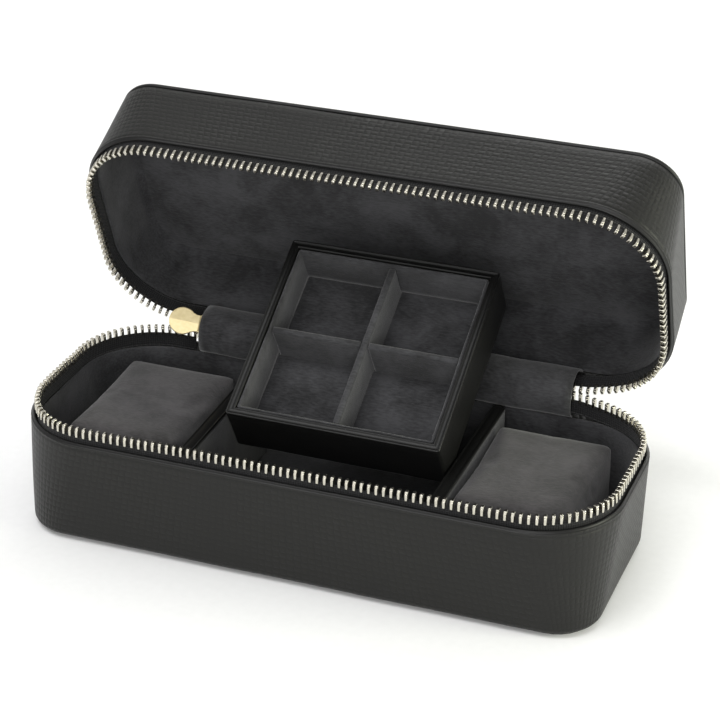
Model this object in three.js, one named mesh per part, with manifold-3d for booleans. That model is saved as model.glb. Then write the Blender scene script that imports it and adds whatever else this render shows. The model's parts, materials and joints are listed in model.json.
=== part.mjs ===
// Zip-round watch box: a leather-covered base and lid joined by a leather spine, two watch
// cushions in the end wells and a lift-out tray with four compartments, propped up.
// Millimetres, +Z up, front towards -Y. The origin is the middle of the bottom panel.

import * as THREE from 'three';
import Module from 'manifold-3d';
import { mergeVertices } from 'three/addons/utils/BufferGeometryUtils.js';

// Driving dimensions
const width = 230;
const depth = 95;
const rimHeight = 44; // leather edge of the base above the ground
const lidWall = 34; // lid from its own leather edge to the top panel
const zipGap = 9.4; // between the two leather edges when shut
const taper = 3.5; // how far the walls lean in from the rim to the flat end
const rimRadius = 32.5;
const endRadius = 17; // corner radius at the flat end
const board = 1.8; // leather-covered wall
const liningThick = 1.2;
const liningDrop = 3.5; // lining edge below the leather edge
const gap = 0.3; // between neighbouring pieces
const lidOpen = 68.9; // degrees
const hingeY = depth / 2 + 1.8;
const hingeZ = rimHeight + 1.2;

const panelThick = 0.6;
const floorThick = 2.2;
const tapeThick = 0.6;
const tapeInset = 2.4;
const chainInset = 1.5;
const chainThick = 2.4;
const chainHeight = 1.55;
const zipLeft = -77; // where the zip ends at the back
const zipRight = 80;

const wellShift = 3; // the middle well sits this far to the right
const wellHalf = 46; // half the width of the middle well
const dividerThick = 5;
const dividerTop = rimHeight - 1.7;
const dividerBack = 39.8; // the dividers stop short of the inner hinge strip
const capThick = 1.2;

const cushionWidth = 44;
const cushionDepth = 59;
const cushionTop = 42.4;
const cushionY = -1.4;
const cushionPlaces = { left: -74, right: 77.2 };

const trayWidth = 82.8;
const trayDepth = 80;
const trayHeight = 22;
const trayTilt = 30.5; // degrees
const trayPlace = [6.8, -12.9, 36.4]; // lower front edge, propped
const trayWall = 3.2;
const trayFloor = 2.4;
const trayLining = 1;
const trayCross = 2.6;
const trayCrossDrop = 1.6;
const trayPadThick = 1.2;

// The slider, as it stands when the box is shut
const sliderX = -70;
const sliderZ = rimHeight + zipGap / 2;
const innerPlateY = 42.9;
const outerPlateY = 47.3;
const plateThick = 0.8;
const pinX = -73.5;
const pinY = 40.9;
const pinHalf = 0.5;
const stapleHalf = 3.9;
const stapleBar = 0.6;
const knuckle = { outer: 1.3, bore: 0.95, half: 3 };
const pullHead = 5.45; // radius
const pullReach = 7.6; // from the pin to the middle of the head
const pullThick = 1.1;
const pullAngle = 18; // degrees, swung inwards

// Levels that follow from the sizes above
const floorFrom = panelThick + board + 2 * gap;
const floorTop = floorFrom + floorThick;
const liningTop = rimHeight - liningDrop;
const tapeFrom = liningTop + 0.4;
const tapeTop = rimHeight + 2.6;
const chainFrom = tapeTop + gap;
const lidCrown = 1.8; // shell above the lid's hollow starts this far below the top
const lidHollow = lidCrown + board + gap;
const lidPadThick = 0.9;
const trayInX = trayWidth / 2 - trayWall - gap;
const trayInY = trayDepth / 2 - trayWall - gap;
const trayPadTop = trayFloor + gap + trayPadThick;

const cornerSteps = 7;
const radians = THREE.MathUtils.degToRad;

// Materials
const finish = (color, roughness, metalness) =>
  new THREE.MeshStandardMaterial({ color, roughness, metalness });
const leather = () => finish(0x33342f, 0.5, 0);
const smoothLeather = () => finish(0x141414, 0.45, 0);
const suede = () => finish(0x3a3a40, 0.95, 0);
const cushionSuede = () => finish(0x545254, 0.95, 0);
const webbing = () => finish(0x121214, 0.9, 0);
const silver = () => finish(0xd8d8d2, 0.3, 1);
const nickel = () => finish(0xcbbf9a, 0.35, 1);

// A closed mesh from triangles, turned so that its faces point out.
function solid(points, faces) {
  const flat = faces.flat();
  let volume = 0;
  const [a, b, c] = [new THREE.Vector3(), new THREE.Vector3(), new THREE.Vector3()];
  for (let i = 0; i < flat.length; i += 3) {
    a.fromArray(points[flat[i]]);
    b.fromArray(points[flat[i + 1]]);
    c.fromArray(points[flat[i + 2]]);
    volume += a.dot(b.cross(c));
  }
  if (volume < 0) flat.reverse();
  const geometry = new THREE.BufferGeometry();
  geometry.setAttribute('position', new THREE.Float32BufferAttribute(points.flat(), 3));
  geometry.setIndex(flat);
  const merged = mergeVertices(geometry, 1e-5);
  merged.computeVertexNormals();
  return merged;
}

// One level of a wall: a rounded rectangle inset from the box outline.
function ring(inset, radius, z) {
  const halfX = width / 2 - inset;
  const halfY = depth / 2 - inset;
  const corners = [[1, -1, -90], [1, 1, 0], [-1, 1, 90], [-1, -1, 180]];
  const points = [];
  for (const [sx, sy, start] of corners) {
    for (let i = 0; i <= cornerSteps; i++) {
      const angle = radians(start + (90 * i) / cornerSteps);
      points.push([
        sx * (halfX - radius) + radius * Math.cos(angle),
        sy * (halfY - radius) + radius * Math.sin(angle),
        z,
      ]);
    }
  }
  return points;
}

// Skins a stack of rings. Open stacks get a flat cap at each end, closed ones join up.
function loft(rings, closed = false) {
  const count = rings[0].length;
  const faces = [];
  const levels = closed ? rings.length : rings.length - 1;
  for (let k = 0; k < levels; k++) {
    const next = (k + 1) % rings.length;
    for (let i = 0; i < count; i++) {
      const j = (i + 1) % count;
      const [p, q] = [k * count, next * count];
      faces.push([p + i, p + j, q + j], [p + i, q + j, q + i]);
    }
  }
  const points = rings.flat();
  if (!closed) {
    const last = (rings.length - 1) * count;
    for (let i = 1; i < count - 1; i++) {
      faces.push([0, i + 1, i], [last, last + i, last + i + 1]);
    }
  }
  return solid(points, faces);
}

// Walls lean in by `taper` over their height, and their corners tighten on the way.
const leanAt = (height, wall) => taper * (1 - height / wall);
const radiusAt = (height, wall) => endRadius + ((rimRadius - endRadius) * height) / wall;

// A level of the base (up = 1) or of the lid when shut (up = -1), `height` above its flat end.
function level(height, wall, up, inset) {
  const z = up > 0 ? height : rimHeight + zipGap + wall - height;
  return ring(leanAt(height, wall) + inset, Math.max(radiusAt(height, wall) - inset, 2), z);
}

// Extrudes an outline in the YZ plane along X.
function alongX(outline, from, to) {
  const shape = new THREE.Shape(outline.map(([y, z]) => new THREE.Vector2(y, z)));
  const geometry = new THREE.ExtrudeGeometry(shape, { depth: to - from, bevelEnabled: false });
  geometry.applyMatrix4(new THREE.Matrix4().set(0, 0, 1, from, 1, 0, 0, 0, 0, 1, 0, 0, 0, 0, 0, 1));
  return geometry;
}

// A band of even thickness along an open line in the YZ plane.
function band(line, thick) {
  const sides = [[], []];
  line.forEach(([y, z], i) => {
    const before = line[Math.max(i - 1, 0)];
    const after = line[Math.min(i + 1, line.length - 1)];
    const length = Math.hypot(after[0] - before[0], after[1] - before[1]);
    const across = [-(after[1] - before[1]) / length, (after[0] - before[0]) / length];
    sides[0].push([y + (across[0] * thick) / 2, z + (across[1] * thick) / 2]);
    sides[1].unshift([y - (across[0] * thick) / 2, z - (across[1] * thick) / 2]);
  });
  return sides.flat();
}

// Smooths a few guide points in the YZ plane into a line.
function smooth(guides, steps) {
  const curve = new THREE.CatmullRomCurve3(guides.map(([y, z]) => new THREE.Vector3(0, y, z)));
  return curve.getPoints(steps).map((p) => [p.y, p.z]);
}

// A block with rounded corners and, where edge isn't zero, bevelled top and bottom edges.
function block(w, d, h, edge, radius) {
  const shape = new THREE.Shape();
  const [x, y] = [w / 2 - edge, d / 2 - edge];
  shape.moveTo(-x + radius, -y);
  shape.lineTo(x - radius, -y);
  shape.absarc(x - radius, -y + radius, radius, -Math.PI / 2, 0, false);
  shape.lineTo(x, y - radius);
  shape.absarc(x - radius, y - radius, radius, 0, Math.PI / 2, false);
  shape.lineTo(-x + radius, y);
  shape.absarc(-x + radius, y - radius, radius, Math.PI / 2, Math.PI, false);
  shape.lineTo(-x, -y + radius);
  shape.absarc(-x + radius, -y + radius, radius, Math.PI, 1.5 * Math.PI, false);
  const geometry = new THREE.ExtrudeGeometry(shape, {
    depth: h - 2 * edge,
    bevelEnabled: edge > 0,
    bevelThickness: edge,
    bevelSize: edge,
    bevelSegments: 2,
    curveSegments: 3,
  });
  return geometry.translate(0, 0, edge);
}

function box(w, d, h, x, y, z) {
  return new THREE.BoxGeometry(w, d, h).translate(x, y, z + h / 2);
}

function mesh(name, geometry, material) {
  const piece = new THREE.Mesh(geometry, material);
  piece.name = name;
  return piece;
}

// The path of the zip round three sides, from its left end at the back to its right end.
function zipPath(inset) {
  const outline = ring(inset, rimRadius - inset, 0).map(([x, y]) => new THREE.Vector2(x, y));
  const corner = cornerSteps + 1;
  const back = depth / 2 - inset;
  return [
    new THREE.Vector2(zipLeft, back),
    ...outline.slice(2 * corner),
    ...outline.slice(0, 2 * corner),
    new THREE.Vector2(zipRight, back),
  ];
}

function zipBand(inset, thick, from, to) {
  const shape = new THREE.Shape([...zipPath(inset), ...zipPath(inset + thick).reverse()]);
  const geometry = new THREE.ExtrudeGeometry(shape, { depth: to - from, bevelEnabled: false });
  return geometry.translate(0, 0, from);
}

const mirrored = (z) => 2 * rimHeight + zipGap - z;

function baseShell() {
  const foot = panelThick + gap;
  const rounding = 3;
  const outer = [];
  for (let i = 0; i <= 3; i++) {
    const angle = radians(30 * i);
    const height = foot + rounding * (1 - Math.cos(angle));
    outer.push(level(height, rimHeight, 1, rounding * (1 - Math.sin(angle))));
  }
  outer.push(level(rimHeight, rimHeight, 1, 0));
  const inner = [rimHeight, foot + board].map((z) => level(z, rimHeight, 1, board));
  return loft([...outer, ...inner]);
}

function basePanel() {
  return loft([0, panelThick].map((z) => level(z, rimHeight, 1, 3.5)));
}

// A lining that stands inside the board wall, open at both ends.
function liningWall(from, to, wall, up) {
  const outer = board + gap;
  const inner = outer + liningThick;
  return loft([
    level(from, wall, up, outer),
    level(to, wall, up, outer),
    level(to, wall, up, inner),
    level(from, wall, up, inner),
  ], true);
}

function floorPad(from, to, wall, up) {
  const inset = board + liningThick + 2.5 * gap;
  return loft([from, to].map((z) => level(z, wall, up, inset)));
}

const insideAt = (z) => depth / 2 - leanAt(z, rimHeight) - board - liningThick - 2 * gap;

function divider(x) {
  const foot = floorTop + gap;
  const outline = [
    [-insideAt(foot), foot],
    [dividerBack, foot],
    [dividerBack, dividerTop - gap],
    [-insideAt(liningTop), dividerTop - gap],
  ];
  return alongX(outline, x - dividerThick / 2 + gap, x + dividerThick / 2 - gap);
}

function dividerCap(x) {
  const length = insideAt(liningTop) + dividerBack;
  const cap = block(dividerThick, length, capThick, 0, dividerThick / 2 - 0.05);
  return cap.translate(x, dividerBack - length / 2, dividerTop);
}

function lidShell() {
  const rings = [
    [lidCrown, 2],
    [lidCrown + 0.6, 0.8],
    [lidCrown + 1.6, 0],
    [lidWall, 0],
    [lidWall, board],
    [lidCrown + board, board],
  ];
  return loft(rings.map(([height, inset]) => level(height, lidWall, -1, inset)));
}

function lidPanel() {
  const [thick, inset] = [1.5, 2.4];
  return loft([0, thick].map((height) => level(height, lidWall, -1, inset)));
}

function lidPiping() {
  const [radius, depthBelow, sides] = [0.9, 1, 8];
  const rings = [];
  for (let i = 0; i < sides; i++) {
    const angle = radians((360 * i) / sides);
    const inset = radius + radius * Math.cos(angle);
    rings.push(level(depthBelow + radius * Math.sin(angle), lidWall, -1, inset));
  }
  return loft(rings, true);
}

// Where a point of the shut lid lies once the lid is open.
function opened([y, z]) {
  const turn = radians(lidOpen);
  const [dy, dz] = [y - hingeY, z - hingeZ];
  return [
    hingeY + dy * Math.cos(turn) + dz * Math.sin(turn),
    hingeZ - dy * Math.sin(turn) + dz * Math.cos(turn),
  ];
}

function hingeSpine() {
  const line = depth / 2 + gap + 0.4;
  const guides = [
    [line - 0.5, rimHeight - 10],
    [line, rimHeight - 1],
    [hingeY + 1.2, hingeZ + 1.2],
    opened([line, rimHeight + zipGap + 1]),
    opened([line - 0.6, rimHeight + zipGap + 9]),
  ];
  return alongX(band(smooth(guides, 14), 0.8), -62, 66);
}

function hingeStrip() {
  const inside = insideAt(liningTop);
  const guides = [
    [inside + 0.6, liningTop + 0.7],
    [inside - 2.6, liningTop + 3.4],
    [inside - 2.9, rimHeight + 6],
    [inside + 0.4, rimHeight + 12],
    [inside + 8, rimHeight + 13.4],
    opened([inside + 0.5, mirrored(liningTop) - 0.7]),
  ];
  return alongX(band(smooth(guides, 18), 0.7), -73.2, 78.6);
}

// The slider: two plates either side of a post, with a staple on the inner plate for the pull.
function sliderOutline() {
  const shape = new THREE.Shape();
  shape.moveTo(-5, -2.6);
  shape.lineTo(-3, -3.7);
  shape.lineTo(2, -3.2);
  shape.absarc(2, 0, 3.2, -Math.PI / 2, Math.PI / 2, false);
  shape.lineTo(-3, 3.7);
  shape.lineTo(-5, 2.6);
  return shape;
}

function sliderPlate(y) {
  const settings = { depth: plateThick, bevelEnabled: false, curveSegments: 6 };
  const plate = new THREE.ExtrudeGeometry(sliderOutline(), settings);
  return plate.rotateX(Math.PI / 2).translate(sliderX, y + plateThick / 2, sliderZ);
}

function sliderPost() {
  const length = outerPlateY - innerPlateY - plateThick - 2 * gap;
  return box(3, length, 2.4, sliderX + 2.6, (outerPlateY + innerPlateY) / 2, sliderZ - 1.2);
}

function sliderStaple() {
  const foot = innerPlateY - plateThick / 2 - gap;
  const [half, arm] = [stapleHalf, stapleHalf - stapleBar];
  const outline = [
    [pinY - pinHalf, -half],
    [foot, -half],
    [foot, -arm],
    [pinY + pinHalf, -arm],
    [pinY + pinHalf, arm],
    [foot, arm],
    [foot, half],
    [pinY - pinHalf, half],
  ];
  return alongX(outline, pinX - pinHalf, pinX + pinHalf).translate(0, 0, sliderZ);
}

const wasm = await Module();
wasm.setup();

function toManifold(geometry) {
  const bare = geometry.clone();
  bare.deleteAttribute('normal');
  bare.deleteAttribute('uv');
  const merged = mergeVertices(bare.index ? bare.toNonIndexed() : bare, 1e-5);
  const vertProperties = new Float32Array(merged.attributes.position.array);
  const triVerts = new Uint32Array(merged.index.array);
  return new wasm.Manifold(new wasm.Mesh({ numProp: 3, vertProperties, triVerts }));
}

function fromManifold(body) {
  const { vertProperties, triVerts } = body.getMesh();
  const geometry = new THREE.BufferGeometry();
  geometry.setAttribute('position', new THREE.BufferAttribute(vertProperties, 3));
  geometry.setIndex(new THREE.BufferAttribute(triVerts, 1));
  geometry.computeVertexNormals();
  return geometry;
}

// The pull: a round head on a short waisted neck, with a knuckle that turns on the staple.
function pullTab() {
  const [neck, root, from] = [3.1, 3.5, -0.5];
  const joinAt = radians(48); // where the neck meets the head
  const join = [pullHead * Math.cos(joinAt) - pullReach, pullHead * Math.sin(joinAt)];
  const shape = new THREE.Shape();
  shape.moveTo(from, -root);
  shape.lineTo(from, root);
  shape.quadraticCurveTo(join[0] / 2, neck, ...join);
  shape.absarc(-pullReach, 0, pullHead, joinAt, 2 * Math.PI - joinAt, false);
  shape.quadraticCurveTo(join[0] / 2, -neck, from, -root);
  const settings = { depth: pullThick, bevelEnabled: false, curveSegments: 14 };
  const tab = new THREE.ExtrudeGeometry(shape, settings);
  tab.rotateX(Math.PI / 2).translate(0, pullThick / 2, 0);
  const barrel = new THREE.CylinderGeometry(knuckle.outer, knuckle.outer, 2 * knuckle.half, 16);
  const bore = new THREE.CylinderGeometry(knuckle.bore, knuckle.bore, 4 * knuckle.half, 16);
  const [whole, hole] = [barrel, bore].map((part) => toManifold(part.rotateX(Math.PI / 2)));
  return fromManifold(toManifold(tab).add(whole).subtract(hole));
}

const square = (x, y, z) => [[-x, -y, z], [x, -y, z], [x, y, z], [-x, y, z]];

function trayShell() {
  return hollowBox(trayWidth, trayDepth, trayHeight, trayWall, trayFloor);
}

// An open-topped box with square walls, its lower front edge on the origin.
function hollowBox(w, d, h, wall, floor) {
  const [x, y] = [w / 2, d / 2];
  const [ix, iy] = [x - wall, y - wall];
  const rings = [square(x, y, 0), square(x, y, h), square(ix, iy, h), square(ix, iy, floor)];
  return loft(rings).translate(0, d / 2, 0);
}

function trayPad() {
  return box(2 * trayInX, 2 * trayInY, trayPadThick, 0, trayDepth / 2, trayFloor + gap);
}

// The suede lining of the tray walls, a square tube.
function trayLiner() {
  const [foot, top] = [trayPadTop + gap, trayHeight - 0.7];
  const [ix, iy] = [trayInX - trayLining, trayInY - trayLining];
  const rings = [
    square(trayInX, trayInY, foot),
    square(trayInX, trayInY, top),
    square(ix, iy, top),
    square(ix, iy, foot),
  ];
  return loft(rings, true).translate(0, trayDepth / 2, 0);
}

function trayCrossPiece(w, d, x, y) {
  const foot = trayPadTop + gap;
  return box(w, d, trayHeight - trayCrossDrop - foot, x, trayDepth / 2 + y, foot);
}

function buildBase() {
  const group = new THREE.Group();
  group.add(mesh('base_bottom_panel', basePanel(), leather()));
  group.add(mesh('base_shell', baseShell(), leather()));
  group.add(mesh('base_lining', liningWall(floorFrom, liningTop, rimHeight, 1), suede()));
  group.add(mesh('base_floor_pad', floorPad(floorFrom, floorTop, rimHeight, 1), suede()));
  group.add(mesh('base_zip_tape', zipBand(tapeInset, tapeThick, tapeFrom, tapeTop), webbing()));
  const chain = zipBand(chainInset, chainThick, chainFrom, chainFrom + chainHeight);
  group.add(mesh('base_zip_chain', chain, silver()));
  for (const [side, x] of [['left', wellShift - wellHalf], ['right', wellShift + wellHalf]]) {
    const middle = x + (side === 'left' ? -dividerThick / 2 : dividerThick / 2);
    group.add(mesh(`${side}_divider`, divider(middle), suede()));
    group.add(mesh(`${side}_divider_cap`, dividerCap(middle), smoothLeather()));
  }
  group.add(mesh('hinge_spine', hingeSpine(), leather()));
  group.add(mesh('hinge_strip', hingeStrip(), suede()));
  return group;
}

// Turns a group made for the shut box by an angle about the hinge.
function turnedBack(shut, angle) {
  shut.position.set(0, -hingeY, -hingeZ);
  const turned = new THREE.Group();
  turned.add(shut);
  turned.position.set(0, hingeY, hingeZ);
  turned.rotation.x = -radians(angle);
  return turned;
}

function buildLid() {
  const shut = new THREE.Group();
  shut.add(mesh('lid_shell', lidShell(), leather()));
  shut.add(mesh('lid_top_panel', lidPanel(), leather()));
  shut.add(mesh('lid_piping', lidPiping(), smoothLeather()));
  shut.add(mesh('lid_lining', liningWall(lidHollow, lidWall - liningDrop, lidWall, -1), suede()));
  shut.add(mesh('lid_top_pad', floorPad(lidHollow, lidHollow + lidPadThick, lidWall, -1), suede()));
  const tape = zipBand(tapeInset, tapeThick, mirrored(tapeTop), mirrored(tapeFrom));
  shut.add(mesh('lid_zip_tape', tape, webbing()));
  const chain = zipBand(chainInset, chainThick, mirrored(chainFrom + chainHeight), mirrored(chainFrom));
  shut.add(mesh('lid_zip_chain', chain, silver()));
  return turnedBack(shut, lidOpen);
}

// The slider leans half as far as the lid, because it hangs between the ends of the two tapes.
function buildSlider() {
  const shut = new THREE.Group();
  shut.add(mesh('slider_inner_plate', sliderPlate(innerPlateY), nickel()));
  shut.add(mesh('slider_outer_plate', sliderPlate(outerPlateY), nickel()));
  shut.add(mesh('slider_post', sliderPost(), nickel()));
  const pull = new THREE.Group();
  pull.add(mesh('zip_pull', pullTab(), nickel()));
  pull.position.set(pinX, pinY, sliderZ);
  pull.rotation.z = radians(pullAngle);
  shut.add(mesh('slider_staple', sliderStaple(), nickel()), pull);
  return turnedBack(shut, lidOpen / 2);
}

function buildTray() {
  const group = new THREE.Group();
  group.add(mesh('tray_shell', trayShell(), smoothLeather()));
  group.add(mesh('tray_pad', trayPad(), suede()));
  group.add(mesh('tray_lining', trayLiner(), suede()));
  const [ix, iy] = [trayInX - trayLining - gap, trayInY - trayLining - gap];
  group.add(mesh('tray_long_divider', trayCrossPiece(trayCross, 2 * iy, 0, 0), suede()));
  for (const [side, sign] of [['left', -1], ['right', 1]]) {
    const inner = trayCross / 2 + gap;
    const middle = (sign * (ix + inner)) / 2;
    group.add(mesh(`tray_${side}_divider`, trayCrossPiece(ix - inner, trayCross, middle, 0), suede()));
  }
  group.position.set(...trayPlace);
  group.rotation.x = radians(trayTilt);
  return group;
}

function buildCushion(side) {
  const height = cushionTop - floorTop - gap;
  const shape = block(cushionWidth, cushionDepth, height, 1.5, 2);
  const cushion = mesh(`${side}_cushion`, shape, cushionSuede());
  cushion.position.set(cushionPlaces[side], cushionY, floorTop + gap);
  return cushion;
}

const watchBox = new THREE.Group();
watchBox.add(buildBase(), buildLid(), buildSlider(), buildTray());
watchBox.add(buildCushion('left'), buildCushion('right'));

export default watchBox;
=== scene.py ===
# %% [markdown]
# # A zip-round watch box
# The real thing is a board box covered in embossed leather, lined in microsuede and closed by a metal
# zip that runs round three sides. A leather spine at the back is its hinge. Two suede cushions hold a
# watch each, and a small leather tray with four pockets is propped up in the middle.
# The solid model is loaded first as a fixed frame: this file adds looks and never moves it.

# %% Load the frame
import json
import math

import bmesh
import bpy
from mathutils import Matrix, Vector, noise


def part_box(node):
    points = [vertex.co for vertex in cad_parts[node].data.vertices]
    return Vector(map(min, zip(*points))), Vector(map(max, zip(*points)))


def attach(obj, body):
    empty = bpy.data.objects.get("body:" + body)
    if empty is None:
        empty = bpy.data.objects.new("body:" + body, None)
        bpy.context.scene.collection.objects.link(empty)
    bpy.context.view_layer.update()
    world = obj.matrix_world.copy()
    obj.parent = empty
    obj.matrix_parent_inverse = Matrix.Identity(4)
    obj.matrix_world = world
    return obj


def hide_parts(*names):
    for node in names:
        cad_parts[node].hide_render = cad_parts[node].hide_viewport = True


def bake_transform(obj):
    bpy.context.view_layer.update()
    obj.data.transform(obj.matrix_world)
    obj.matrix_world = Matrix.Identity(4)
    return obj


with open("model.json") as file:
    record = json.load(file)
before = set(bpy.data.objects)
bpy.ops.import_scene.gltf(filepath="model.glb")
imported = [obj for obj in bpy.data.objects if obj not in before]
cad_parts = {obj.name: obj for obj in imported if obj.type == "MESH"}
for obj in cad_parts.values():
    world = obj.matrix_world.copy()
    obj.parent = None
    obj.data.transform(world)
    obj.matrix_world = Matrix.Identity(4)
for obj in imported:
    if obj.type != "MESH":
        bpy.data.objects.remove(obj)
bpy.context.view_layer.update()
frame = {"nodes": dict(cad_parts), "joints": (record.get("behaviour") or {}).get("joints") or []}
nodes = frame["nodes"]
print("pieces in the frame:", len(nodes))

# %% [markdown]
# ## Sizes
# All sizes below are millimetres, the unit a case maker works in, and one number turns them to metres.
# Places are read from the frame, so a change there moves everything here with it.

# %% Sizes and the hinge
MM = 0.001


def box_mm(node):
    """The lowest and the highest corner of a frame node, in millimetres."""
    low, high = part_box(node)
    return low / MM, high / MM


def show(name, data):
    """A new object, linked into the scene."""
    made = bpy.data.objects.new(name, data)
    bpy.context.scene.collection.objects.link(made)
    return made


shell_low, shell_high = box_mm("base_shell")
WIDTH = shell_high.x - shell_low.x
DEPTH = shell_high.y - shell_low.y
RIM = shell_high.z
ZIP_GAP = 9.4
LID_WALL = 34.0
LID_TOP = RIM + ZIP_GAP + LID_WALL
TAPER = 3.5
RIM_RADIUS = 32.5
END_RADIUS = 17.0
BOARD = 1.8

hinge = next(j for j in frame["joints"] if j["name"] == "lid_hinge")
hinge_at = Vector(hinge["pos_m"])
OPEN_ANGLE = -hinge["range_deg"][0]
opening = (
    Matrix.Translation(hinge_at)
    @ Matrix.Rotation(-math.radians(OPEN_ANGLE), 4, "X")
    @ Matrix.Translation(-hinge_at)
)
print("box", round(WIDTH), "x", round(DEPTH), "mm, lid open", OPEN_ANGLE, "degrees")

# %% [markdown]
# ## The studio
# A long lens from the front right and a little above. The lens is set first, because everything else
# is judged through it. The floor is a plain pale sheet that curves up behind, as in a product studio.

# %% Camera
camera_data = bpy.data.cameras.new("studio_camera")
camera_data.sensor_width = 36.0
camera_data.lens = 120.66
camera_data.shift_x = 0.0286
camera_data.shift_y = 0.0154
camera_data.clip_end = 20.0
camera = show("studio_camera", camera_data)
bpy.context.scene.camera = camera

azimuth = math.radians(20.49)
elevation = math.radians(27.4)
roll = math.radians(0.3)
back = Vector((
    math.sin(azimuth) * math.cos(elevation),
    -math.cos(azimuth) * math.cos(elevation),
    math.sin(elevation),
))
right = Vector((math.cos(azimuth), math.sin(azimuth), 0.0))
up = back.cross(right)
rolled_right = right * math.cos(roll) + up * math.sin(roll)
rolled_up = up * math.cos(roll) - right * math.sin(roll)
turn = Matrix((rolled_right, rolled_up, back)).transposed()
camera.matrix_world = Matrix.Translation(Vector((276.7, -737.1, 475.4)) * MM) @ turn.to_4x4()
print("camera at", [round(c, 3) for c in camera.location])

# %% [markdown]
# One function turns a hex colour, as a colour card gives it, to the linear values that shaders use.
# One more adds a node: its settings are attributes, and an input is either a value or another socket.

# %% Colour and node helpers


def linear(hex_colour):
    """An sRGB hex colour as linear RGBA."""
    channels = [int(hex_colour[i:i + 2], 16) / 255 for i in (1, 3, 5)]
    lit = [c / 12.92 if c <= 0.04045 else ((c + 0.055) / 1.055) ** 2.4 for c in channels]
    return (*lit, 1.0)


def add(tree, kind, settings=None, inputs=None):
    """Adds a node to a tree, sets it up and links or fills its inputs."""
    node = tree.nodes.new(kind)
    for name, value in (settings or {}).items():
        setattr(node, name, value)
    for key, value in (inputs or {}).items():
        if isinstance(value, bpy.types.NodeSocket):
            tree.links.new(value, node.inputs[key])
        else:
            node.inputs[key].default_value = value
    return node


def maths(tree, operation, first, second=None):
    """The result of one operation on one or two values."""
    inputs = {0: first} if second is None else {0: first, 1: second}
    return add(tree, "ShaderNodeMath", {"operation": operation}, inputs).outputs[0]


def blended(tree, share, low, high):
    """A colour between two. Each is a hex colour or a socket."""
    ends = [linear(end) if isinstance(end, str) else end for end in (low, high)]
    inputs = {0: share, 6: ends[0], 7: ends[1]}
    return add(tree, "ShaderNodeMix", {"data_type": "RGBA"}, inputs).outputs[2]


def relief(tree, strength, distance, height, under=None):
    """A bumped normal, on top of another one if given."""
    inputs = {"Strength": strength, "Distance": distance, "Height": height}
    if under is not None:
        inputs["Normal"] = under
    return add(tree, "ShaderNodeBump", {}, inputs).outputs["Normal"]


def new_material(name, shader_inputs):
    """A material with one Principled shader, and the shader."""
    material = bpy.data.materials.new(name)
    material.use_nodes = True
    tree = material.node_tree
    tree.nodes.clear()
    shader = add(tree, "ShaderNodeBsdfPrincipled", {}, shader_inputs)
    add(tree, "ShaderNodeOutputMaterial", {}, {"Surface": shader.outputs["BSDF"]})
    return material, tree, shader


# %% Floor, light and world
def studio_light(name, place, size, power, colour):
    """A square soft light that looks at the middle of the box."""
    data = bpy.data.lights.new(name, "AREA")
    data.shape = "SQUARE"
    data.size = size
    data.energy = power
    data.color = linear(colour)[:3]
    lamp = show(name, data)
    lamp.location = place
    aim = Vector((0.0, 0.0, 0.05)) - lamp.location
    lamp.rotation_euler = aim.to_track_quat("-Z", "Y").to_euler()


studio_light("top_light", (-0.4, -0.5, 1.6), 1.0, 12.0, "#ffffff")
studio_light("front_light", (0.5, -1.9, 0.75), 1.1, 17.0, "#ffffff")
studio_light("side_light", (1.5, 0.1, 0.38), 0.7, 17.0, "#fcffe8")
studio_light("back_light", (0.1, 1.5, 1.3), 1.0, 7.0, "#ffffff")

world = bpy.data.worlds.new("studio_world")
bpy.context.scene.world = world
world.use_nodes = True
world.node_tree.nodes.clear()
seen = add(world.node_tree, "ShaderNodeLightPath")
soft = add(world.node_tree, "ShaderNodeBackground", {}, {"Color": linear("#ffffff"), "Strength": 0.55})
bright = add(world.node_tree, "ShaderNodeBackground", {}, {"Color": linear("#ffffff"), "Strength": 1.0})
either = add(world.node_tree, "ShaderNodeMixShader", {}, {
    "Fac": seen.outputs["Is Camera Ray"],
    1: soft.outputs["Background"],
    2: bright.outputs["Background"],
})
add(world.node_tree, "ShaderNodeOutputWorld", {}, {"Surface": either.outputs["Shader"]})
bpy.context.scene.view_settings.view_transform = "Standard"

floor_mesh = bpy.data.meshes.new("studio_floor")
sweep = [(-3.0, 0.0), (1.2, 0.0)]
sweep += [(1.2 + 0.8 * math.sin(a), 0.8 - 0.8 * math.cos(a)) for a in (0.3, 0.6, 0.9, 1.2, 1.57)]
sweep += [(2.0, 3.0)]
floor_points = [(x, y, z) for y, z in sweep for x in (-3.0, 3.0)]
floor_faces = [(2 * i, 2 * i + 1, 2 * i + 3, 2 * i + 2) for i in range(len(sweep) - 1)]
floor_mesh.from_pydata(floor_points, [], floor_faces)
floor = show("studio_floor", floor_mesh)

# Matt backdrop paper: nearly white, with the faintest tooth so that it isn't a flat value.
paper, paper_tree, paper_shader = new_material("Backdrop paper, matt white", {"Roughness": 0.95})
paper_coords = add(paper_tree, "ShaderNodeTexCoord")
paper_tooth = add(paper_tree, "ShaderNodeTexNoise", {}, {
    "Vector": paper_coords.outputs["Object"],
    "Scale": 300.0,
})
paper_tone = blended(paper_tree, paper_tooth.outputs["Fac"], "#f6f6f6", "#fcfcfc")
paper_tree.links.new(paper_tone, paper_shader.inputs["Base Color"])
floor_mesh.materials.append(paper)
print("studio ready")

# %% [markdown]
# ## Finishes
# Embossed PU leather: a backing cloth coated with polyurethane and rolled hot under an engraved roller.
# The roller leaves a basket pattern of small pillows, 2.6 mm across, each one ribbed the other way from
# its neighbours. It is drawn on the piece's own UV map, which runs in metres along the surface, so the
# pillows go round the corners as they do on the real wall.

# %% Embossed PU leather


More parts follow.
